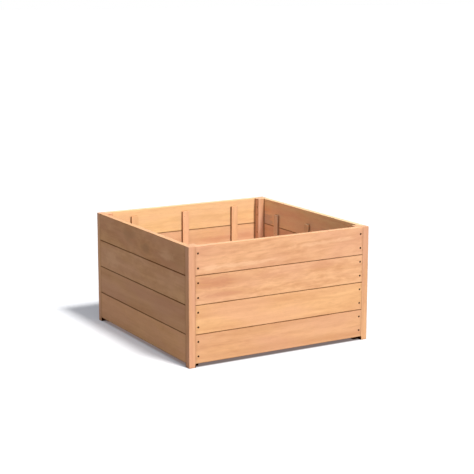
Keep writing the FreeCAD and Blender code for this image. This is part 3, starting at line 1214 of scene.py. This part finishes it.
@dataclass
class CornerPosts:
    """The four corner posts, each with a nib that closes the corner and a block inside it."""

    thickness: float = 27 * MM          # of the boards
    reveal: float = 36 * MM
    size: float = 65 * MM
    seam_reach: float = 2.2 * MM
    arris_radius: float = 1.8 * MM
    inner_radius: float = 0.3 * MM      # of the corners that don't stand free
    rosiness: float = 0.7
    skin: float = 0.5 * MM              # a place nearer to a face than this is on it
    seam_dark: float = 0.22             # of the nib, beside the boards
    hidden_shade: float = 0.9            # painted shade on the faces that the boards lie on
    top_reach: float = 1.5 * MM         # below the top, where neither shows
    foot_dark: float = 0.20
    foot_reach: float = 8 * MM
    black_shade_height: float = 14 * MM      # of the painted black shade, on the part of the foot that is under the boards
    first_seed: float = 20.0

    def build(self) -> None:
        """Build each post."""
        heads = [head for wall in Wall for head in screw_heads(wall) if head.inward.dot(wall.outward) > 0.0]
        for index, (corner, tone) in enumerate(POST_TONES.items()):
            self.post(f"post_{corner}", self.first_seed + index, tone, heads).build()
            log.info("built post %s", corner)

    def post(self, node: str, seed: float, tone: Colour, heads: Sequence[ScrewHead]) -> SawnPiece:
        """Draw one post up.

        Args:
            node: Its CAD node.
            seed: Its seed.
            tone: Its tone.
            heads: The heads of the screws that run through the posts.

        Returns:
            The post, ready to build.
        """
        finish = Timber(tone=tone, rosiness=self.rosiness)
        low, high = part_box(node)
        to_x = 1.0 if low.x < 0.0 else -1.0
        to_y = 1.0 if low.y < 0.0 else -1.0
        corner = Vector((low.x if to_x > 0 else high.x, low.y if to_y > 0 else high.y))
        outline = ((0.0, 0.0, True), (self.reveal, 0.0, False), (self.reveal, self.thickness, False),
                   (self.size, self.thickness, False), (self.size, self.size, True),
                   (self.thickness, self.size, False), (self.thickness, self.reveal, False),
                   (0.0, self.reveal, False))
        radius = {True: self.arris_radius, False: self.inner_radius}
        arrises = [Arris(corner.x + to_x * x, corner.y + to_y * y, radius[free], free)
                   for x, y, free in outline]

        def dirt_and_shade(height: float, across: float, over: float) -> float:
            """Tell how dark a place on the post is painted.

            Args:
                height: How high it is.
                across: Its x in the frame of the part.
                over: Its y in the frame of the part.

            Returns:
                The dark of the seams, the painted shade of the hidden faces, and the dark of the foot.
            """
            x, y = (across - corner.x) * to_x, (over - corner.y) * to_y
            nearer, further = min(x, y), max(x, y)
            in_nib = nearer < self.thickness - self.skin
            seam = self.seam_dark * fade(self.reveal - further, self.seam_reach) if in_nib else 0.0
            hidden = self.hidden_shade if not in_nib and nearer < self.thickness + self.skin else 0.0
            # The foot is darker towards the bottom; where it is under the boards it is painted black as
            # shade.
            foot_dark, foot_top = self.foot_dark, 0.0
            if nearer > self.thickness - self.skin or in_nib and further > self.reveal - self.skin:
                foot_dark, foot_top = BLACK_SHADE, self.black_shade_height
            foot = foot_dark * fade(height - low.z - foot_top, self.foot_reach)
            return max(min(seam + hidden, FULL_DARK) * (1.0 - fade(high.z - height, self.top_reach)), foot)

        inside = [head for head in heads
                  if low.x - MM < head.place.x < high.x + MM and low.y - MM < head.place.y < high.y + MM]
        return SawnPiece(node=node, axis=Axis.Z, section=Section(arrises), span=(low.z, high.z),
                         material=finish.material("timber_" + node, Axis.Z, seed), slot="post_timber",
                         dirt_and_shade=dirt_and_shade, seed=seed, heads=inside, bow=0.0)


# The battens of the back and right walls are lighter, partly as their tone and partly as painted light inside
# the bed.
BATTEN_TONES: dict[Wall, tuple[Colour, Colour, Colour]] = {
    Wall.BACK: ((1.060, 1.160, 1.200), (1.120, 1.210, 1.290), (1.120, 1.300, 1.290)),
    Wall.RIGHT: ((1.120, 1.300, 1.400), (1.160, 1.400, 1.620), (1.070, 1.350, 1.680)),
}


@dataclass
class Battens:
    """The three battens inside each wall, with their sides painted dark as shade."""

    count: int = 3
    arris_radius: float = 1.3 * MM
    hidden_radius: float = 0.2 * MM     # of the corners against the boards
    side_shades: Pair = (0.92, 0.72)     # painted shade on the sides: on the front and back walls, and on the other two
    side_start: float = 0.1 * MM        # from the side, on the face: where that painted shade starts to fade
    side_reach: float = 0.6 * MM
    # painted shade on the top end
    top_shade: float = 0.30
    top_reach: float = 0.8 * MM
    rosiness: float = 0.4               # of those with a tone of their own
    finish: Timber = Timber(top_light_share=0.0)
    first_seed: float = 30.0
    wall_seeds: float = 5.0             # from one wall's first seed to the next

    def build(self) -> None:
        """Build each batten."""
        for wall in Wall:
            for index in range(1, self.count + 1):
                self.batten(wall, index).build()
            log.info("built the battens of the %s wall", wall.label)

    def batten(self, wall: Wall, index: int) -> SawnPiece:
        """Draw one batten up.

        Args:
            wall: Its wall.
            index: Its number along the wall, from 1.

        Returns:
            The batten, ready to build.
        """
        node = f"batten_{wall.label}_{index}"
        low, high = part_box(node)
        outward = wall.outward
        along_x = wall.grain is Axis.X
        dark = self.side_shades[0] if along_x else self.side_shades[1]
        first, last = (low.x, high.x) if along_x else (low.y, high.y)
        arrises = []
        for x, y in ((low.x, low.y), (high.x, low.y), (high.x, high.y), (low.x, high.y)):
            free = (x - (low.x + high.x) / 2.0) * outward.x + (y - (low.y + high.y) / 2.0) * outward.y < 0.0
            arrises.append(Arris(x, y, self.arris_radius if free else self.hidden_radius, free))

        def dirt_and_shade(height: float, across: float, over: float) -> float:
            """Tell how dark a place on the batten is painted.

            Args:
                height: How high it is.
                across: Its x in the frame of the part.
                over: Its y in the frame of the part.

            Returns:
                The painted shade of the sides or of the top.
            """
            sideways = across if along_x else over
            side = dark * fade(min(sideways - first, last - sideways) - self.side_start, self.side_reach)
            return max(side, self.top_shade * fade(high.z - height, self.top_reach))

        tone = BATTEN_TONES.get(wall)
        finish = Timber(tone=tone[index - 1], rosiness=self.rosiness, top_light_share=0.0) if tone else self.finish
        seed = self.first_seed + index + self.wall_seeds * list(Wall).index(wall)
        return SawnPiece(node=node, axis=Axis.Z, section=Section(arrises), span=(low.z, high.z),
                         material=finish.material("timber_" + node, Axis.Z, seed), slot="batten_timber",
                         dirt_and_shade=dirt_and_shade, seed=seed, bow=0.0)


@dataclass
class Fasteners:
    """The screws and nails of the four walls, which keep their CAD shapes.

    The heads outside are dark. Those inside are plated, and close in colour to the timber.
    """

    dark: Steel = Steel()
    plated: Steel = Steel(clean=(0.62, 0.36, 0.20), stained=(0.40, 0.21, 0.11))

    def build(self) -> None:
        """Dress each group."""
        dark = self.dark.material("dark_screws")
        plated = self.plated.material("plated_steel")
        for wall in Wall:
            outside = wall in (Wall.FRONT, Wall.BACK)
            dress(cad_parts[f"screws_{wall.label}"], dark if outside else plated)
            dress(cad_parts[f"nails_{wall.label}"], plated)
        log.info("dressed the screws and nails")


ROSE = (0.633, 0.271, 0.146)
RUSSET = (0.660, 0.330, 0.165)
CREAM = (0.970, 0.600, 0.360)
UMBER = (0.520, 0.258, 0.118)
BLOND = (0.930, 0.560, 0.310)
# painted shade for the far corner of the right wall
CORNER_SHADE = (0.520, 0.385, 0.350)

SEEN_PLANES = {Wall.FRONT: -0.525, Wall.LEFT: -0.525, Wall.BACK: 0.498, Wall.RIGHT: 0.498}
THROUGH = 0.1       # how far a patch goes into the timber; more than a board's thickness


def stain_and_shade_patch(wall: Wall, along: float, height: float, reach: float, rise: float, colour: Colour,
          depth: float) -> Patch:
    """Make a patch on the side of a wall that the photograph shows.

    Args:
        wall: The wall.
        along: Where its middle is along the wall.
        height: How high its middle is.
        reach: How far it goes each way along the wall.
        rise: How far it goes up and down.
        colour: Its colour.
        depth: How much of the colour there is in its middle.

    Returns:
        The patch.
    """
    plane = SEEN_PLANES[wall]
    if wall.grain is Axis.X:
        return Patch((along, plane, height), (reach, THROUGH, rise), colour, depth)
    return Patch((plane, along, height), (THROUGH, reach, rise), colour, depth)


def wall_boards() -> list[WallBoards]:
    """Give the boards of the four walls the tones that the photograph shows.

    Returns:
        The boards of each wall.
    """
    front = WallBoards(
        Wall.FRONT, seed=1.0,
        tones=((0.970, 0.960, 0.940), (1.050, 1.065, 1.000), (1.030, 1.035, 1.040), (1.000, 0.980, 1.020)),
        mottles=(0.70, 0.50, 1.30, 0.95),
        patches={
            # the lower russet band, along the bottom of the lowest board, is painted shade
            1: (stain_and_shade_patch(Wall.FRONT, -0.050, 0.045, 0.550, 0.022, RUSSET, 0.35),
                stain_and_shade_patch(Wall.FRONT, -0.050, 0.150, 0.330, 0.022, RUSSET, 0.25)),
            3: (stain_and_shade_patch(Wall.FRONT, -0.375, 0.415, 0.165, 0.036, ROSE, 0.72),
                stain_and_shade_patch(Wall.FRONT, -0.320, 0.352, 0.135, 0.018, ROSE, 0.60),
                stain_and_shade_patch(Wall.FRONT, 0.240, 0.430, 0.085, 0.024, ROSE, 0.50)),
            4: (stain_and_shade_patch(Wall.FRONT, -0.270, 0.487, 0.240, 0.013, CREAM, 0.45),
                stain_and_shade_patch(Wall.FRONT, 0.260, 0.545, 0.260, 0.012, CREAM, 0.35)),
        },
        slopes={4: 0.045, 3: 0.005},
    )
    left = WallBoards(
        Wall.LEFT, seed=6.0, joint_reach=2.8 * MM, line_dark=0.45,
        tones=((1.075, 1.070, 1.000), (0.920, 0.900, 0.870), (0.965, 0.975, 0.925), (0.900, 0.860, 0.785)),
        mottles=(0.5, 0.35, 1.3, 1.5), mottle_rate=(9.0, 24.0, 24.0),
        patches={
            3: (stain_and_shade_patch(Wall.LEFT, 0.348, 0.376, 0.100, 0.035, BLOND, 0.40),),
            4: (stain_and_shade_patch(Wall.LEFT, 0.121, 0.549, 0.085, 0.040, UMBER, 0.60),
                stain_and_shade_patch(Wall.LEFT, -0.070, 0.513, 0.055, 0.034, UMBER, 0.75),
                stain_and_shade_patch(Wall.LEFT, -0.400, 0.527, 0.090, 0.055, UMBER, 0.30),
                stain_and_shade_patch(Wall.LEFT, -0.290, 0.513, 0.080, 0.032, BLOND, 0.40)),
        },
    )
    right = WallBoards(
        Wall.RIGHT, seed=11.0, top_light_share=0.9,
        # lighter, partly as the boards' tone and partly as painted light inside the bed
        tones=((1.12, 1.22, 1.20), (1.12, 1.20, 1.22), (1.06, 1.17, 1.32), (1.26, 1.45, 1.58)),
        # painted shade in the far corner of the right wall
        patches={4: (stain_and_shade_patch(Wall.RIGHT, 0.432, 0.472, 0.085, 0.060, CORNER_SHADE, 0.55),)},
    )
    back = WallBoards(
        Wall.BACK, seed=16.0, top_light_share=0.6,
        # lighter, partly as the boards' tone and partly as painted light inside the bed
        tones=((1.10, 1.18, 1.16), (1.12, 1.20, 1.18), (1.00, 1.09, 1.12), (1.12, 1.32, 1.22)),
        patches={
            3: (stain_and_shade_patch(Wall.BACK, -0.020, 0.400, 0.070, 0.030, ROSE, 0.30),
                stain_and_shade_patch(Wall.BACK, 0.195, 0.387, 0.150, 0.019, ROSE, 0.50),
                stain_and_shade_patch(Wall.BACK, 0.385, 0.393, 0.060, 0.018, ROSE, 0.40)),
        },
    )
    return [front, left, right, back]


def main() -> None:
    """Make the camera, the light and the floor, and dress the bed."""
    logging.basicConfig(level=logging.INFO, format="%(message)s")
    PhotoCamera().build()
    StudioLight().build()
    StudioFloor().build()
    for boards in wall_boards():
        boards.build()
    CornerPosts().build()
    Battens().build()
    Fasteners().build()


if __name__ == "__main__":
    main()
